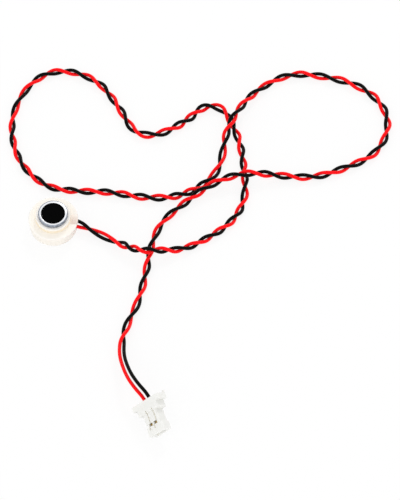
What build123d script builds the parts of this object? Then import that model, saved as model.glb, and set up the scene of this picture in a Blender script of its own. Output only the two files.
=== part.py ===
from build123d import *
import math
import os

# Mini speaker: a six millimetre moving-coil capsule in an aluminium can, pushed into
# a silicone mounting boot, on a twisted red and black pair with a two-way plug.
# Millimetres, +Z up. The origin is the middle of the boot's underside, the sound
# face looks up, and the pair leaves the boot towards +X.

# ---------------------------------------------------------------- capsule sizes
can_diameter = 6.0
can_height = 2.7
can_wall = 0.2
rim_width = 0.55            # folded rim round the felt
recess_depth = 0.5          # rim top down to the sound plate
crimp_width = 0.5           # lip rolled over the terminal board
can_round = 0.14
recess_round = 0.07
felt_thickness = 0.32
felt_gap = 0.02
felt_round = 0.08
sound_hole_diameter = 0.55
sound_hole_circle = 1.25
sound_hole_count = 6
inner_gap = 0.02            # can bore to the parts stacked in it

ring_width = 0.36
ring_height = 0.3
film = 0.06
film_land = 0.1             # flat between the coil and the surround
film_fold_height = 0.18
film_dome_height = 0.22
film_dome_shoulder = 0.167   # height half way out, for a round dome
coil_inner_diameter = 2.64
coil_wall = 0.2
coil_inner_gap = 0.12       # to the top plate
coil_outer_gap = 0.13       # to the yoke
coil_floor_gap = 0.27       # coil's lower end to the yoke's floor

board_thickness = 0.3
board_vent_diameter = 0.4
pad_diameter = 1.2
pad_thickness = 0.05
pad_spacing = 1.9
pad_setback = 0.35          # pads sit this far towards the slot
board_vent_back = 1.8       # vents sit this far away from the slot
board_vent_spacing = 2.0
solder_diameter = 1.0
solder_height = 0.4

yoke_wall = 0.25
yoke_floor = 0.25
magnet_inset = 0.05         # inside the top plate's edge
magnet_chamfer = 0.04
top_plate_height = 0.2
travel_room = 0.19          # top plate up to the film
frame_ledge_drop = 0.35     # room under the moving surround
frame_vent_diameter = 0.36
frame_vent_count = 4

# ------------------------------------------------------------------- boot sizes
boot_base_diameter = 9.5
boot_waist_diameter = 9.94  # side wall just under the flange
flange_diameter = 10.1
flange_above_seat = 0.32
flange_thickness = 0.38
flange_round = 0.26
base_round = 0.35
collar_diameter = 7.1
collar_height = 1.2
collar_round = 0.2
collar_foot_round = 0.16
seat_height = 2.5           # the can's underside
boot_floor = 0.7
chamber_diameter = 5.0
slot_width = 3.0
slot_rise = 0.3             # outer part of the tunnel, above the seat

# ------------------------------------------------------------------- wire sizes
wire_diameter = 0.74
strand_diameter = 0.3       # the bare tinned end
bare_length = 0.78
pair_gap = 0.04             # between the two jackets

# ------------------------------------------------------------------- plug sizes
pitch = 1.25
head_width = 7.2
head_depth = 2.75
head_length = 1.1
shoulder_width = 5.3
shoulder_depth = 2.7
shoulder_end = 2.57
rear_tab_height = 0.6       # lug at one rear corner of the head
rear_tab_width = 0.4
body_width = 3.5
body_depth = 2.4
tip_width = 4.14
tip_length = 1.8
plug_length = 7.14
plug_round = 0.12
head_corner = 0.35          # round of the head's corner beside the windows
cavity_above = 0.6          # from the wire's middle up to the cavity's roof
crimp_gap = 0.03            # jacket crimp to the cavity's side walls
socket_width = 0.65
socket_length = 1.15
mouth_width = 2.3           # shallow recess round both sockets
mouth_depth = 1.1
mouth_recess = 0.3
window_start = 4.68
window_length = 0.65
window_width = 0.9
groove_width = 0.24
groove_depth = 0.3
groove_over_shoulder = 0.5
groove_across = (-0.57, 1.05)  # off centre, so the face can't be mistaken
notch_length = 0.7
notch_across = (-1.14, 0.12)
side_notch_depth = 0.35
side_notch_reach = 0.9      # down the side from the window face
contact_start = 1.2         # from the plug's rear face to the contact
contact_width = 0.84
contact_sheet = 0.1
jacket_crimp_length = 0.7
core_crimp_length = 0.9
core_crimp_diameter = 0.6
contact_box_start = 3.3
contact_box_length = 2.4
strip_width = 0.36
lance_width = 0.6
lance_length = 0.45
lance_rise = 0.42

# ------------------------------------------------------------- how the plug lies
plug_rear_x = 19.53
plug_rear_y = -42.14
plug_yaw = math.radians(20.8)
plug_nose_down = math.radians(11.3)
plug_roll = math.radians(46)

# --------------------------------------------------------------- worked-out sizes
can_radius = can_diameter / 2
can_top = seat_height + can_height
flange_under = seat_height + flange_above_seat
flange_top = flange_under + flange_thickness
collar_top = flange_top + collar_height
slot_top = seat_height + slot_rise
bore_radius = can_radius - can_wall - inner_gap
recess_radius = can_radius - rim_width
plate_top = can_top - recess_depth
plate_under = plate_top - can_wall
ring_under = plate_under - ring_height
film_under = ring_under - film
board_under = seat_height + can_wall
board_top = board_under + board_thickness
yoke_floor_top = board_top + yoke_floor
yoke_height = film_under - travel_room - board_top
magnet_height = yoke_height - yoke_floor - top_plate_height
coil_height = film_under - coil_floor_gap - yoke_floor_top
pad_under = board_under - pad_thickness
lip_radius = can_radius - crimp_width
ring_radius = bore_radius - ring_width
fold_outer = ring_radius
dome_radius = coil_inner_diameter / 2
coil_radius = dome_radius + coil_wall
fold_inner = coil_radius + film_land
yoke_radius = coil_radius + coil_outer_gap + yoke_wall
top_plate_radius = dome_radius - coil_inner_gap
magnet_radius = top_plate_radius - magnet_inset
wire_radius = wire_diameter / 2
cavity_below = wire_radius + contact_sheet
cavity_width = 2 * (cavity_below + crimp_gap)


def ring(outer, inner, low, high):
    """A plain ring about the Z axis between two heights."""
    body = Cylinder(outer, high - low, align=(Align.CENTER, Align.CENTER, Align.MIN))
    if inner > 0:
        body -= Cylinder(inner, high - low, align=(Align.CENTER, Align.CENTER, Align.MIN))
    return Pos(0, 0, low) * body


def turned(*points):
    """A closed outline of (radius, height) points turned about the Z axis."""
    corners = [(radius, 0, height) for radius, height in points]
    outline = make_face(Polyline(*corners, close=True))
    return revolve(outline, Axis.Z)


def round_edges(body, height, radius, amount):
    """Rounds the circular edge of one radius at one height."""
    picked = [
        edge
        for edge in body.edges().filter_by(GeomType.CIRCLE)
        if abs(edge.center().Z - height) < 1e-6 and abs(edge.radius - radius) < 1e-6
    ]
    return fillet(picked, amount)


# ------------------------------------------------------------------------- boot
def make_boot():
    boot = turned(
        (0, 0),
        (boot_base_diameter / 2, 0),
        (boot_waist_diameter / 2, flange_under),
        (flange_diameter / 2, flange_under),
        (flange_diameter / 2, flange_top),
        (collar_diameter / 2, flange_top),
        (collar_diameter / 2, collar_top),
        (0, collar_top),
    )
    boot = round_edges(boot, 0, boot_base_diameter / 2, base_round)
    boot = round_edges(boot, flange_top, flange_diameter / 2, flange_round)
    boot = round_edges(boot, collar_top, collar_diameter / 2, collar_round)
    boot = round_edges(boot, flange_top, collar_diameter / 2, collar_foot_round)
    boot -= ring(can_radius, 0, seat_height, collar_top)
    boot -= ring(chamber_diameter / 2, 0, boot_floor, seat_height)
    tunnel = Box(
        flange_diameter,
        slot_width,
        seat_height - boot_floor,
        align=(Align.MIN, Align.CENTER, Align.MIN),
    )
    boot -= Pos(0, 0, boot_floor) * tunnel
    raised = Box(
        flange_diameter,
        slot_width,
        slot_top - seat_height,
        align=(Align.MIN, Align.CENTER, Align.MIN),
    )
    raised = Pos(0, 0, seat_height) * raised
    raised -= ring(collar_diameter / 2, 0, seat_height, slot_top)
    return boot - raised


# ---------------------------------------------------------------------- capsule
def make_can():
    inner = can_radius - can_wall
    can = turned(
        (lip_radius, seat_height),
        (can_radius, seat_height),
        (can_radius, can_top),
        (recess_radius, can_top),
        (recess_radius, plate_top),
        (0, plate_top),
        (0, plate_under),
        (recess_radius + can_wall, plate_under),
        (recess_radius + can_wall, can_top - can_wall),
        (inner, can_top - can_wall),
        (inner, board_under),
        (lip_radius, board_under),
    )
    can = round_edges(can, can_top, can_radius, can_round)
    can = round_edges(can, can_top, recess_radius, recess_round)
    can = round_edges(can, seat_height, can_radius, can_round)
    hole = Cylinder(sound_hole_diameter / 2, 3 * can_wall)
    holes = PolarLocations(sound_hole_circle, sound_hole_count)
    for place in [Location((0, 0, 0)), *holes]:
        can -= Pos(0, 0, plate_top - can_wall / 2) * place * hole
    return can


def make_felt():
    radius = recess_radius - felt_gap
    felt = ring(radius, 0, plate_top, plate_top + felt_thickness)
    return round_edges(felt, plate_top + felt_thickness, radius, felt_round)


def make_diaphragm():
    """One formed film: flat rim, half-round surround, flat land and centre dome."""
    rim = bore_radius
    lower = [
        ThreePointArc(
            (0, 0, film_under + film_dome_height),
            (dome_radius / 2, 0, film_under + film_dome_shoulder),
            (dome_radius, 0, film_under),
        ),
        Line((dome_radius, 0, film_under), (fold_inner, 0, film_under)),
        ThreePointArc(
            (fold_inner, 0, film_under),
            ((fold_inner + fold_outer) / 2, 0, film_under + film_fold_height),
            (fold_outer, 0, film_under),
        ),
        Line((fold_outer, 0, film_under), (rim, 0, film_under)),
    ]
    upper = [edge.moved(Location((0, 0, film))) for edge in lower]
    middle = Line(
        (0, 0, film_under + film_dome_height), (0, 0, film_under + film_dome_height + film)
    )
    edge = Line((rim, 0, film_under), (rim, 0, film_under + film))
    return revolve(make_face([*lower, *upper, middle, edge]), Axis.Z)


def make_voice_coil():
    return ring(coil_radius, dome_radius, film_under - coil_height, film_under)


def make_frame():
    """Moulded ring that holds the yoke and carries the rim of the diaphragm."""
    frame = turned(
        (yoke_radius, board_top),
        (bore_radius, board_top),
        (bore_radius, film_under),
        (ring_radius, film_under),
        (ring_radius, film_under - frame_ledge_drop),
        (yoke_radius, film_under - frame_ledge_drop),
    )
    vent = Cylinder(frame_vent_diameter / 2, 4 * yoke_height)
    middle = (yoke_radius + ring_radius) / 2
    for place in PolarLocations(middle, frame_vent_count, start_angle=45):
        frame -= Pos(0, 0, board_top) * place * vent
    return frame


def make_yoke():
    cup = ring(yoke_radius, 0, board_top, board_top + yoke_height)
    return cup - ring(yoke_radius - yoke_wall, 0, yoke_floor_top, board_top + yoke_height)


def make_magnet():
    low = yoke_floor_top
    magnet = ring(magnet_radius, 0, low, low + magnet_height)
    return chamfer(magnet.edges().filter_by(GeomType.CIRCLE), magnet_chamfer)


def make_top_plate():
    low = yoke_floor_top + magnet_height
    return ring(top_plate_radius, 0, low, board_top + yoke_height)


def make_board():
    board = ring(bore_radius, 0, board_under, board_top)
    vent = Cylinder(board_vent_diameter / 2, 4 * board_thickness)
    for side in (-1, 1):
        board -= Pos(-board_vent_back, side * board_vent_spacing / 2, board_under) * vent
    return board


def make_pad(side):
    pad = Cylinder(pad_diameter / 2, pad_thickness, align=(Align.CENTER, Align.CENTER, Align.MIN))
    return Pos(pad_setback, side * pad_spacing / 2, pad_under) * pad


# ------------------------------------------------------------------ how plug lies
level_ahead = Vector(math.sin(plug_yaw), -math.cos(plug_yaw), 0)
level_across = Vector(math.cos(plug_yaw), math.sin(plug_yaw), 0)
up = Vector(0, 0, 1)
plug_ahead = level_ahead * math.cos(plug_nose_down) - up * math.sin(plug_nose_down)
plug_raised = up * math.cos(plug_nose_down) + level_ahead * math.sin(plug_nose_down)
plug_across = level_across * math.cos(plug_roll) + plug_raised * math.sin(plug_roll)


def corner_drop(width, depth, along):
    """How far a corner of the plug lies below the middle of its rear face."""
    across = width / 2 * math.sin(plug_roll) * math.cos(plug_nose_down)
    deep = depth / 2 * math.cos(plug_roll) * math.cos(plug_nose_down)
    return across + deep + along * math.sin(plug_nose_down)


plug_rear_z = max(
    corner_drop(head_width, head_depth, head_length),
    corner_drop(tip_width, body_depth, plug_length),
)
plug_rear = Vector(plug_rear_x, plug_rear_y, plug_rear_z)
plug_plane = Plane(origin=plug_rear, x_dir=plug_across, z_dir=plug_ahead)


# ------------------------------------------------------------------------- wires
# pair_route is the middle of the pair, from the boot's wall to the plug. Its three
# long humps are where the pair lies over itself. Each wire starts at its own solder
# joint, and the two lie one above the other as they leave the boot.
floor_height = 0.74
hump_height = 2.3
bare_start_x = 1.2
bare_start_inset = 0.05     # nearer the middle than the pad
bare_start_drop = 0.37      # below the pad's face
tunnel_seat = 2.5           # the seat height at which the next two heights hold
black_start = [(3.1, 0.55, 1.95), (5.2, 0.25, 1.8)]
red_start = [(3.1, -0.8, 1.72), (5.2, -0.66, 1.32)]
pair_route = [
    (8.3, -1.6, 0.9),
    (12.9, -4.6, 1.3),
    (17.6, -7.1, hump_height),
    (21.4, -7.0, hump_height),
    (26.2, -6.1, floor_height),
    (31.5, -3.1, floor_height),
    (36.4, 0.7, floor_height),
    (39.1, 5.9, floor_height),
    (38.9, 13.3, floor_height),
    (38.1, 19.3, floor_height),
    (36.7, 23.4, floor_height),
    (35.2, 27.0, floor_height),
    (32.8, 28.5, floor_height),
    (30.3, 28.1, floor_height),
    (27.2, 25.0, floor_height),
    (23.3, 22.4, floor_height),
    (20.3, 21.3, floor_height),
    (17.9, 21.5, floor_height),
    (15.9, 22.8, floor_height),
    (14.2, 26.2, floor_height),
    (11.8, 30.1, floor_height),
    (9.0, 34.1, floor_height),
    (4.1, 36.8, floor_height),
    (-1.3, 37.0, floor_height),
    (-5.8, 33.4, floor_height),
    (-8.7, 27.5, floor_height),
    (-9.1, 20.6, floor_height),
    (-6.7, 13.6, floor_height),
    (-1.4, 8.5, floor_height),
    (5.0, 7.8, floor_height),
    (11.5, 7.7, floor_height),
    (18.1, 6.4, floor_height),
    (24.4, 6.5, floor_height),
    (29.5, 8.9, floor_height),
    (33.4, 12.8, floor_height),
    (34.5, 17.2, 1.0),
    (35.2, 21.3, hump_height),
    (37.7, 26.8, hump_height),
    (42.2, 32.8, floor_height),
    (48.6, 36.3, floor_height),
    (55.2, 35.8, floor_height),
    (61.8, 33.9, floor_height),
    (67.3, 29.9, floor_height),
    (69.3, 23.6, floor_height),
    (66.1, 16.9, floor_height),
    (59.6, 13.3, floor_height),
    (53.2, 10.9, floor_height),
    (46.9, 11.2, 1.0),
    (41.4, 11.3, hump_height),
    (37.3, 11.0, hump_height),
    (32.0, 9.0, 1.65),
    (26.5, 4.9, 1.0),
    (21.7, 0.4, floor_height),
    (19.8, -5.7, floor_height),
    (18.8, -12.0, floor_height),
    (17.4, -18.2, floor_height),
    (14.6, -24.4, 0.86),
    (14.0, -30.3, 2.0),
    (15.3, -35.6, 3.8),
]


plug_approach = Vector(16.9, -38.85, 4.5)  # where the two wires start to spread
approach_spread = 1.15
straight_at_plug = 0.6


def beside(route, distance):
    """The route moved sideways in plan by a distance, to the left when positive."""
    points = [Vector(*place) for place in route]
    moved = []
    for index, point in enumerate(points):
        before = points[max(index - 1, 0)]
        after = points[min(index + 1, len(points) - 1)]
        into = Vector((point - before).X, (point - before).Y, 0)
        out_of = Vector((after - point).X, (after - point).Y, 0)
        into = into if into.length > 0 else out_of
        out_of = out_of if out_of.length > 0 else into
        left_in = Vector(-into.Y, into.X, 0).normalized()
        left_out = Vector(-out_of.Y, out_of.X, 0).normalized()
        left = (left_in + left_out).normalized()
        moved.append(point + left * (distance / left.dot(left_in)))
    return moved


def on_plug(across, along):
    """A point in the plug's own frame, at mid depth."""
    return plug_rear + plug_across * across + plug_ahead * along


def wire_points(side):
    """Every route point of one wire: side is 1 for black and -1 for red."""
    bare_start = Vector(
        bare_start_x, side * (pad_spacing / 2 - bare_start_inset), pad_under - bare_start_drop
    )
    start = [bare_start]
    for x, y, height in black_start if side > 0 else red_start:
        start.append(Vector(x, y, height * seat_height / tunnel_seat))
    middle = beside(pair_route, side * (wire_diameter + pair_gap) / 2)
    near_plug = plug_approach + plug_across * (side * approach_spread / 2)
    rear = on_plug(side * pitch / 2, -straight_at_plug)
    end = on_plug(side * pitch / 2, contact_start + jacket_crimp_length)
    return [*start, *middle, near_plug, rear, end]


def corner_radii(points):
    """The arc at each corner: as large as the shorter of its two runs allows."""
    radii = []
    for before, corner, after in zip(points, points[1:], points[2:]):
        into = corner - before
        out_of = after - corner
        half_turn = math.radians(into.get_angle(out_of)) / 2
        radii.append(0.45 * min(into.length, out_of.length) / math.tan(half_turn))
    return radii


def make_wire(name, side):
    points = wire_points(side)
    radii = corner_radii(points)
    path = FilletPolyline(*points, radius=radii)
    section = Plane(origin=path @ 0, z_dir=path % 0) * Circle(wire_radius)
    wire = sweep(section, path=path)
    print(name, "length", round(path.length, 2), "smallest radius", round(min(radii), 2))
    print(name, "radii", [round(radius, 1) for radius in radii])
    share = wire.volume / (math.pi * wire_radius**2 * path.length)
    print(name, "volume over section times length", round(share, 4))
    return wire


def make_bare_end(side):
    """The tinned strands from the jacket's cut end into the solder."""
    first, second = wire_points(side)[:2]
    back = (first - second).normalized()
    strand = Cylinder(
        strand_diameter / 2, bare_length, align=(Align.CENTER, Align.CENTER, Align.MIN)
    )
    return Plane(origin=first, z_dir=back) * strand


def make_solder(side):
    """A domed joint under its pad, set round the bare end."""
    radius = solder_diameter / 2
    ball = (radius**2 + solder_height**2) / (2 * solder_height)
    dome = Pos(0, 0, ball - solder_height) * Sphere(ball)
    half = 3 * ball
    dome -= Box(half, half, half, align=(Align.CENTER, Align.CENTER, Align.MIN))
    return Pos(pad_setback, side * pad_spacing / 2, pad_under) * dome - make_bare_end(side)


# -------------------------------------------------------------------------- plug
def block(width, depth, start, end, rounding=0.0):
    """A block about the plug's axis, with its long edges rounded."""
    body = Box(width, depth, end - start, align=(Align.CENTER, Align.CENTER, Align.MIN))
    if rounding > 0:
        body = fillet(body.edges().filter_by(Axis.Z), rounding)
    return Pos(0, 0, start) * body


def make_head():
    """The plug's wide rear end: one corner well rounded, and a lug behind another."""
    head = Box(head_width, head_depth, head_length, align=(Align.CENTER, Align.CENTER, Align.MIN))
    corners = head.edges().filter_by(Axis.Z)
    beside_windows = max(corners, key=lambda edge: edge.center().X + edge.center().Y)
    head = fillet([edge for edge in corners if edge is not beside_windows], plug_round)
    corners = head.edges().filter_by(Axis.Z)
    beside_windows = max(corners, key=lambda edge: edge.center().X + edge.center().Y)
    head = fillet(beside_windows, head_corner)
    tab = block(rear_tab_width, rear_tab_width, -rear_tab_height, head_length, plug_round)
    across = (head_width - rear_tab_width) / 2
    return head + Pos(across, (rear_tab_width - head_depth) / 2, 0) * tab


def face_cut(across, width, depth, start, end):
    """A cutter that goes down from the window face."""
    cutter = Box(width, depth, end - start, align=(Align.CENTER, Align.MAX, Align.MIN))
    return Pos(across, body_depth / 2, start) * cutter


def make_housing():
    """The plug's moulding: X across, +Y to the contact windows, Z to the mating end."""
    face = body_depth / 2
    tip_start = plug_length - tip_length
    window_end = window_start + window_length
    groove_start = shoulder_end - groove_over_shoulder
    cavity_end = plug_length - socket_length
    housing = make_head()
    housing += block(shoulder_width, shoulder_depth, head_length, shoulder_end, plug_round)
    housing += block(body_width, body_depth, shoulder_end, tip_start, plug_round)
    housing += block(tip_width, body_depth, tip_start, plug_length, plug_round)
    housing -= block(mouth_width, mouth_depth, plug_length - mouth_recess, plug_length)
    for side, groove_x, notch_x in zip((-1, 1), groove_across, notch_across):
        middle = side * pitch / 2
        cavity = Box(
            cavity_width,
            cavity_below + cavity_above,
            cavity_end,
            align=(Align.CENTER, Align.MIN, Align.MIN),
        )
        housing -= Pos(middle, -cavity_below, 0) * cavity
        housing -= Pos(middle, 0, 0) * block(socket_width, socket_width, cavity_end, plug_length)
        channel = Box(
            groove_width,
            shoulder_depth / 2 - face,
            groove_over_shoulder,
            align=(Align.CENTER, Align.MIN, Align.MIN),
        )
        housing -= Pos(groove_x, face, groove_start) * channel
        housing -= face_cut(groove_x, groove_width, groove_depth, groove_start, window_start)
        housing -= face_cut(middle, window_width, face, window_start, window_end)
        notch_end = window_end + notch_length
        housing -= face_cut(notch_x, groove_width, groove_depth, window_end, notch_end)
    side_middle = (side_notch_depth - body_width) / 2
    housing -= face_cut(
        side_middle, side_notch_depth, side_notch_reach, window_start, tip_start
    )
    return plug_plane * housing


def make_contact(side):
    """A crimp contact: jacket crimp, core crimp, box for the pin, and its lance."""
    floor = -cavity_below
    box_top = floor + contact_width
    jacket = Cylinder(
        wire_radius + contact_sheet,
        jacket_crimp_length,
        align=(Align.CENTER, Align.CENTER, Align.MIN),
    )
    jacket -= Cylinder(
        wire_radius, jacket_crimp_length, align=(Align.CENTER, Align.CENTER, Align.MIN)
    )
    contact = Pos(0, 0, contact_start) * jacket
    core = Cylinder(
        core_crimp_diameter / 2, core_crimp_length, align=(Align.CENTER, Align.CENTER, Align.MIN)
    )
    core_start = contact_start + jacket_crimp_length
    contact += Pos(0, 0, core_start) * core
    strip_end = contact_box_start + contact_box_length
    strip = Box(
        strip_width,
        -floor - wire_radius,
        strip_end - contact_start,
        align=(Align.CENTER, Align.MIN, Align.MIN),
    )
    contact += Pos(0, floor, contact_start) * strip
    web = Box(
        contact_sheet * 2,
        wire_radius,
        core_crimp_length,
        align=(Align.CENTER, Align.MIN, Align.MIN),
    )
    contact += Pos(0, -wire_radius, core_start) * web
    shell = Box(
        contact_width,
        contact_width,
        contact_box_length,
        align=(Align.CENTER, Align.MIN, Align.MIN),
    )
    bore = Box(
        contact_width - 2 * contact_sheet,
        contact_width - 2 * contact_sheet,
        contact_box_length,
        align=(Align.CENTER, Align.MIN, Align.MIN),
    )
    contact += Pos(0, floor, contact_box_start) * shell
    contact -= Pos(0, floor + contact_sheet, contact_box_start) * bore
    lance = Box(
        lance_width, lance_rise, lance_length, align=(Align.CENTER, Align.MIN, Align.MIN)
    )
    lance_start = window_start + (window_length - lance_length) / 2
    contact += Pos(0, box_top, lance_start) * lance
    return plug_plane * (Pos(side * pitch / 2, 0, 0) * contact)


parts = {
    "rubber_boot": make_boot(),
    "capsule_can": make_can(),
    "felt_disc": make_felt(),
    "diaphragm": make_diaphragm(),
    "diaphragm_ring": ring(bore_radius, ring_radius, ring_under, plate_under),
    "voice_coil": make_voice_coil(),
    "top_plate": make_top_plate(),
    "magnet": make_magnet(),
    "yoke": make_yoke(),
    "speaker_frame": make_frame(),
    "terminal_board": make_board(),
    "terminal_pad_positive": make_pad(-1),
    "terminal_pad_negative": make_pad(1),
    "solder_joint_positive": make_solder(-1),
    "solder_joint_negative": make_solder(1),
    "red_wire_bare_end": make_bare_end(-1),
    "black_wire_bare_end": make_bare_end(1),
    "red_wire": make_wire("red_wire", -1),
    "black_wire": make_wire("black_wire", 1),
    "plug_housing": make_housing(),
    "contact_positive": make_contact(-1),
    "contact_negative": make_contact(1),
}

os.makedirs("parts", exist_ok=True)
for name, part in parts.items():
    export_step(part, f"parts/{name}.step")
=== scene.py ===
import math

import bpy
import numpy as np
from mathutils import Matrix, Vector, noise


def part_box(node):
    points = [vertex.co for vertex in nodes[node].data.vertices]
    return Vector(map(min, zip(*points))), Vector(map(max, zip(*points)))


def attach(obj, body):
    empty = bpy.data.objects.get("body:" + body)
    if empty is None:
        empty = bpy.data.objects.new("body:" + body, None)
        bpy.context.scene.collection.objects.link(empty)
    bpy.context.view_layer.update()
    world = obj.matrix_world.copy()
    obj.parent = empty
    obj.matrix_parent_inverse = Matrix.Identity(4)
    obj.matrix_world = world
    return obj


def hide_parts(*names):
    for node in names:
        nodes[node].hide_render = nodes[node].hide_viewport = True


# A mini speaker in its silicone boot, on a twisted pair with a small crimp plug.
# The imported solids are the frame. Everything is in metres in the row's frame: +Z is
# up, the origin is under the boot, and the pair leaves the boot towards +X.

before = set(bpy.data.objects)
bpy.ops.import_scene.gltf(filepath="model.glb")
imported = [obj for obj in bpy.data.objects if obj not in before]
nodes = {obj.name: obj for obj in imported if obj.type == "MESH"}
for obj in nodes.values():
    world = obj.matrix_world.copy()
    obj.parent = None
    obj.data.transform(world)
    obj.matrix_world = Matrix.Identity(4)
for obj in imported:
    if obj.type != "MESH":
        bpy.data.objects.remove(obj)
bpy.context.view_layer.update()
scene = bpy.context.scene
MM = 0.001

# ------------------------------------------------------------------ the view
VIEW_MIDDLE = Vector((29.8, -5.61, 0.0)) * MM
VIEW_DISTANCE = 0.9
VIEW_ELEVATION = math.radians(60)
LENS = 319.2
CLIP_NEAR = 0.01
CLIP_FAR = 10.0

# ----------------------------------------------------------------- the light
WORLD_LIGHT = 0.9           # strength of the white surroundings as light
FLOOR_WHITE = 0.85          # how much of the floor is plain white where it is seen
FLOOR_COLOUR = (0.95, 0.95, 0.95)
FLOOR_REACH = 1.5           # from its middle to each side
LAMPS = [                   # name, place, size and power
    ("key_lamp", (0.2, 0.56, 0.5), 0.12, 0.9),
    ("fill_lamp", (-0.45, -0.35, 0.5), 0.4, 0.35),
    ("front_lamp", (0.05, -0.65, 0.16), 0.3, 0.5),
]

# ------------------------------------------------------------------ the felt
FELT_RINGS = 44
FELT_SPOKES = 144
FELT_CENTRE = 0.02 * MM     # radius of the innermost ring
FELT_EDGE = 0.1 * MM        # how far the edge is rounded
FELT_EDGE_START = 0.94      # where the top starts to round, as a share of the radius
FELT_CROWN = 0.12           # rise of the middle, as a share of the thickness
FELT_NAP = 0.03 * MM        # depth of the nap
FELT_NAP_SIZE = 0.11 * MM

# ----------------------------------------------------------------- the wires
WIRE_DIAMETER = 0.74 * MM
WIRE_SIDES = 16
LINE_STEP = 0.2 * MM
LINE_FINENESS = 24          # points that the route's curve gives between two of its own
TABLE_BLUR = 6              # steps each way over which a table is smoothed

# The middle of the pair, in millimetres: inside the boot, across the floor and into
# the plug. The three long humps are where the pair lies over itself.
FLOOR_HEIGHT = 0.74
HUMP_HEIGHT = 2.3
ROUTE = [
    (1.2, 0.0, 2.28),
    (3.1, -0.12, 1.84),
    (5.2, -0.35, 1.56),
    (8.3, -1.75, 0.9),
    (12.9, -4.6, 1.3),
    (17.6, -7.1, HUMP_HEIGHT),
    (21.4, -6.95, HUMP_HEIGHT),
    (26.2, -6.05, FLOOR_HEIGHT),
    (31.6, -3.2, FLOOR_HEIGHT),
    (36.5, 0.6, FLOOR_HEIGHT),
    (39.2, 5.9, FLOOR_HEIGHT),
    (38.9, 13.3, FLOOR_HEIGHT),
    (38.1, 19.3, FLOOR_HEIGHT),
    (36.7, 23.4, FLOOR_HEIGHT),
    (35.2, 27.0, FLOOR_HEIGHT),
    (32.8, 28.5, FLOOR_HEIGHT),
    (30.3, 28.1, FLOOR_HEIGHT),
    (27.3, 24.9, FLOOR_HEIGHT),
    (23.3, 22.3, FLOOR_HEIGHT),
    (20.3, 21.2, FLOOR_HEIGHT),
    (17.9, 21.4, FLOOR_HEIGHT),
    (15.8, 22.7, FLOOR_HEIGHT),
    (14.1, 26.1, FLOOR_HEIGHT),
    (11.8, 30.1, FLOOR_HEIGHT),
    (9.0, 34.1, FLOOR_HEIGHT),
    (4.1, 36.7, FLOOR_HEIGHT),
    (-1.3, 36.9, FLOOR_HEIGHT),
    (-5.8, 33.4, FLOOR_HEIGHT),
    (-8.7, 27.5, FLOOR_HEIGHT),
    (-9.1, 20.6, FLOOR_HEIGHT),
    (-6.7, 13.6, FLOOR_HEIGHT),
    (-1.4, 8.6, FLOOR_HEIGHT),
    (5.0, 7.8, FLOOR_HEIGHT),
    (11.5, 7.7, FLOOR_HEIGHT),
    (18.1, 6.3, FLOOR_HEIGHT),
    (24.4, 6.3, FLOOR_HEIGHT),
    (29.7, 8.55, FLOOR_HEIGHT),
    (33.65, 12.65, FLOOR_HEIGHT),
    (34.6, 17.2, 1.0),
    (35.2, 21.3, HUMP_HEIGHT),
    (37.7, 26.8, HUMP_HEIGHT),
    (42.2, 32.8, FLOOR_HEIGHT),
    (48.6, 36.4, FLOOR_HEIGHT),
    (55.2, 35.65, FLOOR_HEIGHT),
    (61.8, 33.9, FLOOR_HEIGHT),
    (67.1, 29.75, FLOOR_HEIGHT),
    (69.1, 23.6, FLOOR_HEIGHT),
    (66.25, 16.7, FLOOR_HEIGHT),
    (59.6, 13.3, FLOOR_HEIGHT),
    (53.2, 11.0, FLOOR_HEIGHT),
    (46.9, 11.3, 1.0),
    (41.4, 11.3, HUMP_HEIGHT),
    (37.3, 11.0, HUMP_HEIGHT),
    (32.0, 9.0, 1.65),
    (26.55, 4.85, 1.0),
    (21.7, 0.4, FLOOR_HEIGHT),
    (19.7, -5.7, FLOOR_HEIGHT),
    (18.8, -12.0, FLOOR_HEIGHT),
    (17.4, -18.2, FLOOR_HEIGHT),
    (14.7, -24.45, 0.86),
    (13.9, -30.3, 2.0),
    (15.2, -35.6, 3.8),
    (16.85, -38.9, 4.5),
    (19.32, -41.59, 3.81),
    (19.95, -43.24, 3.46),
]

# How far the black wire has turned round the pair's middle, in half turns from the
# left-hand side, at a distance along the route in millimetres.
TWIST = [
    (0.0, 0.0),
    (2.0, 0.05),
    (4.2, 0.16),
    (6.4, 0.65),
    (13.4, 1.65),
    (18.3, 3.66),
    (24.1, 5.67),
    (44.0, 11.55),
    (48.2, 12.5),
    (62.1, 16.44),
    (70.1, 18.33),
    (79.7, 21.35),
    (91.5, 24.41),
    (106.4, 28.34),
    (117.2, 31.38),
    (127.0, 33.48),
    (141.6, 37.62),
    (152.25, 40.67),
    (170.75, 45.67),
    (179.9, 48.63),
    (189.35, 50.53),
    (204.2, 54.53),
    (216.6, 57.67),
    (227.3, 60.16),
    (240.2, 63.46),
    (248.1, 65.36),
    (268.1, 70.33),
    (290.1, 76.37),
    (312.1, 81.45),
    (322.5, 83.47),
    (323.8, 83.8),
    (326.4, 83.97),
    (331.0, 84.1),
    (338.5, 84.256),
    (342.0, 84.256),
]

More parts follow.
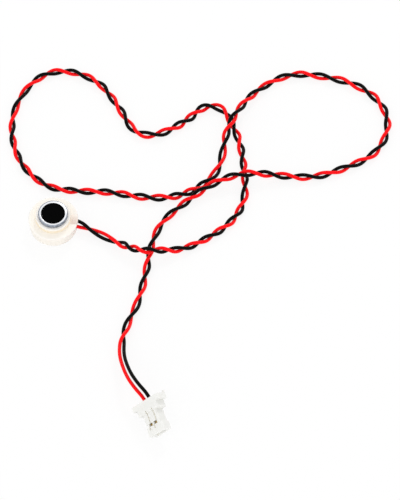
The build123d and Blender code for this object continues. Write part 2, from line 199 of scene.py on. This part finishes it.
# How far each wire lies from the pair's middle, in millimetres. The twist is loose, so
# the wires lie apart where they are side by side and touch only where they cross.
SIDE_SPREAD = [
    (0.0, 0.9),
    (2.0, 0.69),
    (4.2, 0.51),
    (6.6, 0.43),
    (9.8, 0.48),
    (14.0, 0.5),
    (22.0, 0.42),
    (38.0, 0.445),
    (46.0, 0.5),
    (54.0, 0.44),
    (62.0, 0.51),
    (70.0, 0.55),
    (78.0, 0.55),
    (86.0, 0.52),
    (94.0, 0.45),
    (102.0, 0.425),
    (118.0, 0.41),
    (142.0, 0.39),
    (158.0, 0.44),
    (166.0, 0.51),
    (190.0, 0.49),
    (198.0, 0.46),
    (206.0, 0.4),
    (214.0, 0.46),
    (222.0, 0.51),
    (238.0, 0.45),
    (262.0, 0.49),
    (294.0, 0.44),
    (310.0, 0.47),
    (320.0, 0.49),
    (326.0, 0.45),
    (330.0, 0.46),
    (334.0, 0.53),
    (338.0, 0.61),
    (339.4, 0.625),
    (342.0, 0.625),
]
CROSSING_SPREAD = [
    (0.0, 0.9),
    (2.0, 0.69),
    (4.2, 0.51),
    (6.6, 0.38),
    (9.8, 0.37),
    (326.0, 0.37),
    (330.0, 0.43),
    (334.0, 0.53),
    (338.0, 0.61),
    (339.4, 0.625),
    (342.0, 0.625),
]


# ------------------------------------------------------------------ mesh helpers
def unit(vectors):
    """Each row scaled to length 1."""
    return vectors / np.linalg.norm(vectors, axis=1)[:, None]


def add_mesh(name, corners, faces, smooth=True):
    """A new mesh object from corners and faces."""
    mesh = bpy.data.meshes.new(name)
    mesh.from_pydata([tuple(corner) for corner in corners], [], faces)
    mesh.update()
    if smooth:
        mesh.shade_smooth()
    piece = bpy.data.objects.new(name, mesh)
    scene.collection.objects.link(piece)
    return piece


def add_rings(name, corners, sides):
    """A closed mesh from rings of corners, each ring with this many sides."""
    faces = []
    for low in range(0, len(corners) - sides, sides):
        high = low + sides
        for step in range(sides):
            following = (step + 1) % sides
            faces.append((low + step, low + following, high + following, high + step))
    last = len(corners) - sides
    faces.append(tuple(reversed(range(sides))))
    faces.append(tuple(range(last, last + sides)))
    return add_mesh(name, corners, faces)


# ------------------------------------------------------------------ node helpers
class Shading:
    """A new material: its node tree, its main shader and short ways to add nodes."""

    # The colour sockets of a Mix node, whose names its other sockets share.
    FIRST_COLOUR = 6
    SECOND_COLOUR = 7
    MIXED_COLOUR = 2
    # Nearly all of a noise lies between these values.
    NOISE_LOW = 0.25
    NOISE_HIGH = 0.75

    def __init__(self, name, colour, roughness, metallic=0.0):
        self.material = bpy.data.materials.new(name)
        self.material.use_nodes = True
        self.tree = self.material.node_tree
        self.shader = self.tree.nodes["Principled BSDF"]
        self.set("Base Color", (*colour, 1.0))
        self.set("Roughness", roughness)
        self.set("Metallic", metallic)
        self.place = self.add("ShaderNodeTexCoord").outputs["Object"]

    def set(self, socket, value):
        """Sets one of the main shader's own values."""
        self.shader.inputs[socket].default_value = value

    def soften(self, weight, depth):
        """Lets light into the surface, to about this depth in metres."""
        self.set("Subsurface Weight", weight)
        self.set("Subsurface Radius", (1.0, 1.0, 1.0))
        self.set("Subsurface Scale", depth)

    def add(self, kind, **settings):
        """A new node with these settings."""
        node = self.tree.nodes.new(kind)
        for key, value in settings.items():
            setattr(node, key, value)
        return node

    def join(self, source, target):
        """Links an output to a socket."""
        self.tree.links.new(source, target)

    def feed(self, target, value):
        """Puts a number in a socket, or links an output to it."""
        if isinstance(value, (int, float)):
            target.default_value = value
        else:
            self.join(value, target)

    def noise(self, size, detail=2.0, stretch=(1.0, 1.0, 1.0)):
        """Noise with features of about this size, in metres."""
        mapping = self.add("ShaderNodeMapping")
        mapping.inputs["Scale"].default_value = stretch
        self.join(self.place, mapping.inputs["Vector"])
        texture = self.add("ShaderNodeTexNoise")
        texture.inputs["Scale"].default_value = 1.0 / size
        texture.inputs["Detail"].default_value = detail
        self.join(mapping.outputs["Vector"], texture.inputs["Vector"])
        return texture.outputs["Fac"]

    def maths(self, operation, first, second=0.0):
        """One calculation with two values, each an output or a number."""
        node = self.add("ShaderNodeMath", operation=operation)
        self.feed(node.inputs[0], first)
        self.feed(node.inputs[1], second)
        return node.outputs[0]

    def product(self, first, *others):
        """Several values multiplied with each other."""
        for other in others:
            first = self.maths("MULTIPLY", first, other)
        return first

    def rise(self, value, low, high, start=0.0, end=1.0):
        """A smooth step: start below low, end above high."""
        node = self.add("ShaderNodeMapRange", interpolation_type="SMOOTHSTEP")
        self.feed(node.inputs["Value"], value)
        node.inputs["From Min"].default_value = low
        node.inputs["From Max"].default_value = high
        node.inputs["To Min"].default_value = start
        node.inputs["To Max"].default_value = end
        return node.outputs["Result"]

    def band(self, value, low, high, soft):
        """1 between low and high, falling to 0 over a soft edge."""
        upward = self.rise(value, low - soft, low + soft)
        downward = self.rise(value, high - soft, high + soft, 1.0, 0.0)
        return self.product(upward, downward)

    def mix(self, share, first, second):
        """Mixes two colours, each an output or three numbers."""
        node = self.add("ShaderNodeMix", data_type="RGBA")
        self.feed(node.inputs["Factor"], share)
        for socket, colour in ((self.FIRST_COLOUR, first), (self.SECOND_COLOUR, second)):
            if isinstance(colour, tuple):
                node.inputs[socket].default_value = (*colour, 1.0)
            else:
                self.join(colour, node.inputs[socket])
        return node.outputs[self.MIXED_COLOUR]

    def tint(self, base, where, amount, colour):
        """Mixes up to this amount of a colour into the base, where a 0 to 1 value says."""
        return self.mix(self.product(where, amount), base, colour)

    def colour(self, source):
        """The surface's colour."""
        self.join(source, self.shader.inputs["Base Color"])

    def rough(self, source, low, high):
        """Roughness that follows a 0 to 1 value."""
        level = self.rise(source, self.NOISE_LOW, self.NOISE_HIGH, low, high)
        self.join(level, self.shader.inputs["Roughness"])

    def bump(self, source, depth, strength=1.0):
        """Surface relief of about this depth, in metres."""
        node = self.add("ShaderNodeBump")
        node.inputs["Strength"].default_value = strength
        node.inputs["Distance"].default_value = depth
        self.join(source, node.inputs["Height"])
        self.join(node.outputs["Normal"], self.shader.inputs["Normal"])

    def parts_of_place(self):
        """The three coordinates of the place, one by one."""
        node = self.add("ShaderNodeSeparateXYZ")
        self.join(self.place, node.inputs["Vector"])
        return node.outputs["X"], node.outputs["Y"], node.outputs["Z"]

    def from_axis(self, x, y):
        """Distance from the Z axis."""
        across = self.maths("POWER", x, 2.0)
        along = self.maths("POWER", y, 2.0)
        return self.maths("SQRT", self.maths("ADD", across, along))


# --------------------------------------------------------------------- materials
def silicone():
    """Cream translucent silicone. Painted shade makes its side below the flange darker and
    warmer, draws a dark line at the flange's lower edge where the parting line is, tans the
    collar's foot, and shows the dark tunnel and its wires under the thin roof."""
    made = Shading("cream_silicone", (0.96, 0.91, 0.83), 0.45)
    made.soften(0.35, 0.6 * MM)
    made.set("Specular IOR Level", 0.2)
    x, y, z = made.parts_of_place()
    radius = made.from_axis(x, y)
    cloud = made.noise(3.0 * MM)
    base = made.mix(cloud, (0.955, 0.90, 0.835), (0.975, 0.93, 0.875))
    # Painted shade: the side below the flange is darker and warmer.
    lower_side_shade = made.rise(z, 2.9 * MM, 2.7 * MM)
    base = made.tint(base, lower_side_shade, 0.4, (0.94, 0.87, 0.78))
    # Painted shade: a dark line at the flange's lower edge, where the parting line's small
    # step is.
    flange_edge_shade = made.band(z, 2.76 * MM, 2.84 * MM, 0.03 * MM)
    base = made.tint(base, flange_edge_shade, 0.8, (0.78, 0.66, 0.52))
    # Painted shade: a tan ring in the concave corner at the collar's foot.
    collar_shade_band = made.band(radius, 3.3 * MM, 3.6 * MM, 0.1 * MM)
    collar_foot_shade = made.product(collar_shade_band, made.rise(z, 4.3 * MM, 3.8 * MM))
    base = made.tint(base, collar_foot_shade, 0.75, (0.96, 0.80, 0.56))
    # Painted shade: the dark tunnel and the wires under the thin roof, as a brown tint over
    # it.
    tunnel_roof_shade = made.product(
        made.rise(y, 1.4 * MM, -1.1 * MM),
        made.rise(y, -1.5 * MM, -1.4 * MM),
        made.rise(x, 3.3 * MM, 3.9 * MM),
        made.rise(z, 2.6 * MM, 2.9 * MM),
    )
    made.colour(made.tint(base, tunnel_roof_shade, 0.6, (0.66, 0.50, 0.43)))
    grain = made.noise(0.25 * MM, 4.0)
    made.rough(grain, 0.4, 0.52)
    made.bump(grain, 0.008 * MM, 0.5)
    return made.material


def aluminium():
    """Drawn aluminium with a curled rim. Its colour holds a painted highlight, a near-white
    band at the inner edge, and a painted dark reflection, dull grey outside.
    """
    # Radii where the painted highlight's inner band ends and the painted dark reflection
    # outside begins.
    highlight_until, dark_reflection_from = 2.74 * MM, 2.84 * MM
    curl_start = 2.5 * MM
    curl_fall = -420.0  # metres of height for each square metre past the start
    made = Shading("drawn_aluminium", (0.30, 0.33, 0.39), 0.3, 1.0)
    x, y, _ = made.parts_of_place()
    radius = made.from_axis(x, y)
    cloud = made.noise(0.35 * MM, 3.0)
    # Painted dark reflection: grey tones outside the inner band; the band itself is a painted
    # highlight.
    dark_reflection_tones = made.mix(made.rise(cloud, 0.35, 0.65), (0.22, 0.25, 0.31), (0.38, 0.42, 0.49))
    inner_highlight = made.rise(radius, dark_reflection_from, highlight_until)
    made.colour(made.mix(inner_highlight, dark_reflection_tones, (0.86, 0.87, 0.89)))
    streak = made.noise(0.3 * MM, 3.0, (1.0, 1.0, 9.0))
    made.rough(streak, 0.2, 0.34)
    outward = made.maths("MAXIMUM", made.maths("SUBTRACT", radius, curl_start), 0.0)
    curl = made.product(made.maths("POWER", outward, 2.0), curl_fall)
    relief = made.product(streak, 0.004 * MM)
    made.bump(made.maths("ADD", curl, relief), 1.0)
    return made.material


def black_felt():
    """Dense black felt with short matted fibres."""
    made = Shading("black_felt", (0.002, 0.002, 0.002), 0.95)
    made.set("Specular IOR Level", 0.02)
    fibre = made.noise(0.06 * MM, 5.0)
    made.colour(made.mix(fibre, (0.0005, 0.0005, 0.0005), (0.003, 0.003, 0.003)))
    made.bump(fibre, 0.02 * MM, 0.8)
    return made.material


def jacket(name, dark, light, roughness, gloss):
    """Soft vinyl insulation: faint draw marks and a slightly uneven sheen."""
    made = Shading(name, light, roughness)
    made.set("Specular IOR Level", gloss)
    made.set("Sheen Weight", 0.14)
    made.set("Sheen Roughness", 0.4)
    made.set("Sheen Tint", (1.0, 0.88, 0.8, 1.0))
    cloud = made.noise(0.5 * MM, 3.0)
    made.colour(made.mix(cloud, dark, light))
    made.rough(cloud, roughness - 0.06, roughness + 0.08)
    made.bump(made.noise(0.12 * MM, 3.0), 0.006 * MM, 0.6)
    return made.material


def nylon():
    """Natural translucent nylon with faint flow marks, and tan painted light in its hollows,
    where ambient occlusion finds them.
    """
    open_above, closed_below = 0.62, 0.35
    made = Shading("natural_nylon", (0.85, 0.855, 0.83), 0.4)
    made.soften(0.4, 0.6 * MM)
    made.set("Specular IOR Level", 0.12)
    flow = made.noise(1.5 * MM, 3.0)
    base = made.mix(flow, (0.84, 0.84, 0.81), (0.865, 0.865, 0.84))
    # Painted light: where ambient occlusion finds hollows, the colour turns a lighter tan.
    openness = made.add("ShaderNodeAmbientOcclusion", samples=32)
    openness.inputs["Distance"].default_value = 0.3 * MM
    hollow_light = made.rise(openness.outputs["AO"], open_above, closed_below)
    made.colour(made.mix(hollow_light, base, (0.99, 0.95, 0.84)))
    made.rough(flow, 0.5, 0.6)
    made.bump(made.noise(0.2 * MM, 3.0), 0.004 * MM, 0.5)
    return made.material


def metal(name, dark, light, roughness, grain=0.15):
    """A metal with fine grain; grain is its size in millimetres."""
    made = Shading(name, light, roughness, 1.0)
    cloud = made.noise(grain * MM, 3.0)
    made.colour(made.mix(cloud, dark, light))
    made.rough(cloud, roughness - 0.07, roughness + 0.1)
    made.bump(cloud, 0.003 * MM, 0.5)
    return made.material


def moulding(name, dark, light, roughness):
    """A matt plastic or laminate with fine grain."""
    made = Shading(name, light, roughness)
    cloud = made.noise(0.2 * MM, 3.0)
    made.colour(made.mix(cloud, dark, light))
    made.rough(cloud, roughness - 0.08, roughness + 0.08)
    made.bump(cloud, 0.004 * MM, 0.5)
    return made.material


def dress(piece, material):
    """Gives a piece one material."""
    piece.data.materials.clear()
    piece.data.materials.append(material)


red_jacket = jacket("red_jacket", (0.93, 0.0, 0.002), (1.0, 0.002, 0.008), 0.32, 0.1)
black_jacket = jacket(
    "black_jacket", (0.0005, 0.0005, 0.0005), (0.002, 0.0019, 0.0016), 0.3, 0.05
)
steel = metal("plated_iron", (0.45, 0.45, 0.46), (0.62, 0.62, 0.63), 0.35)
contact_metal = metal("contact_bronze", (0.3, 0.2, 0.05), (0.46, 0.32, 0.1), 0.35)
pad_metal = metal("pad_gold", (0.75, 0.52, 0.2), (0.9, 0.66, 0.3), 0.3)
solder_metal = metal("solder", (0.55, 0.55, 0.56), (0.75, 0.75, 0.76), 0.25)
node_materials = {
    "rubber_boot": silicone(),
    "capsule_can": aluminium(),
    "diaphragm": moulding("film", (0.6, 0.55, 0.42), (0.7, 0.66, 0.52), 0.3),
    "diaphragm_ring": metal("ring_brass", (0.6, 0.42, 0.16), (0.75, 0.55, 0.24), 0.35),
    "voice_coil": metal("coil_copper", (0.5, 0.2, 0.08), (0.68, 0.3, 0.13), 0.35, 0.05),
    "top_plate": steel,
    "yoke": steel,
    "magnet": metal("nickel", (0.6, 0.59, 0.56), (0.72, 0.71, 0.68), 0.2),
    "speaker_frame": moulding("frame_plastic", (0.01, 0.01, 0.01), (0.02, 0.02, 0.02), 0.5),
    "terminal_board": moulding("laminate", (0.01, 0.06, 0.025), (0.02, 0.1, 0.04), 0.4),
    "terminal_pad_positive": pad_metal,
    "terminal_pad_negative": pad_metal,
    "solder_joint_positive": solder_metal,
    "solder_joint_negative": solder_metal,
    "red_wire_bare_end": solder_metal,
    "black_wire_bare_end": solder_metal,
    "red_wire": red_jacket,
    "black_wire": black_jacket,
    "plug_housing": nylon(),
    "contact_positive": contact_metal,
    "contact_negative": contact_metal,
}
felt_material = black_felt()
for node_name, node_material in node_materials.items():
    dress(nodes[node_name], node_material)


# -------------------------------------------------------------------- the strands
def smooth_line(route):
    """Points on the route's smooth line, read from its NURBS spline, in even steps."""
    curve = bpy.data.curves.new("route", "CURVE")
    curve.dimensions = "3D"
    curve.resolution_u = LINE_FINENESS
    spline = curve.splines.new("NURBS")
    spline.points.add(len(route) - 1)
    for point, place in zip(spline.points, route):
        point.co = (*(value * MM for value in place), 1.0)
    spline.order_u = 3
    spline.use_endpoint_u = True
    holder = bpy.data.objects.new("route", curve)
    scene.collection.objects.link(holder)
    bpy.context.view_layer.update()
    mesh = bpy.data.meshes.new_from_object(holder)
    line = np.array([vertex.co for vertex in mesh.vertices])
    bpy.data.objects.remove(holder)
    bpy.data.meshes.remove(mesh)
    travelled = np.r_[0, np.cumsum(np.linalg.norm(np.diff(line, axis=0), axis=1))]
    stations = np.linspace(0, travelled[-1], round(travelled[-1] / LINE_STEP) + 1)
    even = [np.interp(stations, travelled, line[:, axis]) for axis in range(3)]
    return np.array(even).T, stations


def along_pair(pairs):
    """Reads a table of (distance in mm, value) along the pair, smoothed by a running
    mean with the ends held."""
    distances, values = np.array(pairs).T
    read = np.interp(pair_stations, distances * MM, values)
    padded = np.pad(read, TABLE_BLUR, mode="edge")
    width = 2 * TABLE_BLUR + 1
    return np.convolve(padded, np.ones(width) / width, mode="valid")


def tube(name, line, sideways, radius, sides):
    """A closed round tube along a line; sideways is where each ring starts."""
    ahead = unit(np.gradient(line, axis=0))
    first = unit(sideways - ahead * (sideways * ahead).sum(axis=1)[:, None])
    second = np.cross(ahead, first)
    corners = []
    for step in range(sides):
        angle = 2 * math.pi * step / sides
        corners.append(line + radius * (math.cos(angle) * first + math.sin(angle) * second))
    return add_rings(name, np.stack(corners, axis=1).reshape(-1, 3), sides)


pair_line, pair_stations = smooth_line(ROUTE)
pair_ahead = unit(np.gradient(pair_line, axis=0))
pair_left = unit(np.cross((0.0, 0.0, 1.0), pair_ahead))
pair_up = np.cross(pair_ahead, pair_left)
turns = along_pair(TWIST)
side_spread = along_pair(SIDE_SPREAD) * MM
crossing_spread = along_pair(CROSSING_SPREAD) * MM


def make_strand(name, start_turn, node, material):
    """One wire of the pair, wound round the pair's middle."""
    angle = math.pi * (turns + start_turn)
    aside = pair_left * (side_spread * np.cos(angle))[:, None]
    above = pair_up * (crossing_spread * np.sin(angle))[:, None]
    line = pair_line + aside + above
    strand = tube(name, line, pair_left, WIRE_DIAMETER / 2, WIRE_SIDES)
    dress(strand, material)
    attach(strand, "root")
    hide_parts(node)


make_strand(
    "black_strand", 0, "black_wire", black_jacket
)
make_strand("red_strand", 1, "red_wire", red_jacket)


# ----------------------------------------------------------------- the felt cloth
def make_felt():
    """A felt disc with an uneven nap and a soft round edge."""
    low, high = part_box("felt_disc")
    radius = (high.x - low.x) / 2
    thickness = high.z - low.z
    rows = [
        (FELT_CENTRE, low.z),
        (radius - FELT_EDGE, low.z),
        (radius, low.z + FELT_EDGE),
        (radius, high.z - FELT_EDGE),
    ]
    first_top_row = len(rows)
    for ring in range(FELT_RINGS):
        share = 1 - ring / FELT_RINGS
        past_start = max(0.0, (share - FELT_EDGE_START) / (1 - FELT_EDGE_START))
        crown = thickness * FELT_CROWN * (1 - share**2) - FELT_EDGE * past_start**2
        height = high.z - FELT_CROWN * thickness + crown
        rows.append((max(radius * share, FELT_CENTRE), height))
    corners = []
    for row, (reach, height) in enumerate(rows):
        for spoke in range(FELT_SPOKES):
            angle = 2 * math.pi * spoke / FELT_SPOKES
            x, y = reach * math.cos(angle), reach * math.sin(angle)
            nap = 0.0
            if row >= first_top_row:
                nap = min(noise.noise(Vector((x, y, 0.0)) / FELT_NAP_SIZE), 0.0)
            corners.append((x, y, height + nap * FELT_NAP))
    felt = add_rings("felt_cloth", corners, FELT_SPOKES)
    dress(felt, felt_material)
    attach(felt, "root")
    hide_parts("felt_disc")


make_felt()


# --------------------------------------------------------- floor, lamps and camera
def seen(tree):
    """1 for what is seen, straight, mirrored or through a surface, and 0 for light."""
    path = tree.nodes.new("ShaderNodeLightPath")
    result = path.outputs["Is Camera Ray"]
    for kind in ("Is Glossy Ray", "Is Transmission Ray"):
        either = tree.nodes.new("ShaderNodeMath")
        either.operation = "MAXIMUM"
        tree.links.new(result, either.inputs[0])
        tree.links.new(path.outputs[kind], either.inputs[1])
        result = either.outputs[0]
    return result


def make_floor():
    """A pale floor: nearly white to the camera, with the object's shadow kept."""
    reach = FLOOR_REACH
    corners = [(-reach, -reach, 0), (reach, -reach, 0), (reach, reach, 0), (-reach, reach, 0)]
    floor = add_mesh("floor", corners, [(0, 1, 2, 3)], smooth=False)
    material = bpy.data.materials.new("pale_floor")
    material.use_nodes = True
    tree = material.node_tree
    tree.nodes.clear()
    output = tree.nodes.new("ShaderNodeOutputMaterial")
    mix = tree.nodes.new("ShaderNodeMixShader")
    matt = tree.nodes.new("ShaderNodeBsdfDiffuse")
    matt.inputs["Color"].default_value = (*FLOOR_COLOUR, 1.0)
    glow = tree.nodes.new("ShaderNodeEmission")
    share = tree.nodes.new("ShaderNodeMath")
    share.operation = "MULTIPLY"
    share.inputs[1].default_value = FLOOR_WHITE
    join = tree.links.new
    join(seen(tree), share.inputs[0])
    join(share.outputs[0], mix.inputs["Fac"])
    join(matt.outputs["BSDF"], mix.inputs[1])
    join(glow.outputs["Emission"], mix.inputs[2])
    join(mix.outputs["Shader"], output.inputs["Surface"])
    dress(floor, material)


def make_world():
    """Soft white surroundings: white where seen, dimmer as light on the object."""
    world = bpy.data.worlds.new("studio")
    scene.world = world
    world.use_nodes = True
    tree = world.node_tree
    background = tree.nodes["Background"]
    background.inputs["Color"].default_value = (1.0, 1.0, 1.0, 1.0)
    level = tree.nodes.new("ShaderNodeMapRange")
    level.inputs["To Min"].default_value = WORLD_LIGHT
    level.inputs["To Max"].default_value = 1.0
    tree.links.new(seen(tree), level.inputs["Value"])
    tree.links.new(level.outputs["Result"], background.inputs["Strength"])


def make_lamp(name, place, size, power):
    """A square soft lamp aimed at the middle of the view."""
    light = bpy.data.lights.new(name, "AREA")
    light.size = size
    light.energy = power
    lamp = bpy.data.objects.new(name, light)
    lamp.location = place
    aim = VIEW_MIDDLE - Vector(place)
    lamp.rotation_euler = aim.to_track_quat("-Z", "Y").to_euler()
    scene.collection.objects.link(lamp)


def make_camera():
    """A far camera in front of the object that looks down on the middle of the view."""
    data = bpy.data.cameras.new("camera")
    data.lens = LENS
    data.clip_start = CLIP_NEAR
    data.clip_end = CLIP_FAR
    camera = bpy.data.objects.new("camera", data)
    back = Vector((0.0, -math.cos(VIEW_ELEVATION), math.sin(VIEW_ELEVATION)))
    camera.location = VIEW_MIDDLE + back * VIEW_DISTANCE
    camera.rotation_euler = (math.pi / 2 - VIEW_ELEVATION, 0.0, 0.0)
    scene.collection.objects.link(camera)
    return camera


make_floor()
make_world()
for lamp_values in LAMPS:
    make_lamp(*lamp_values)
scene.camera = make_camera()
scene.view_settings.view_transform = "Standard"
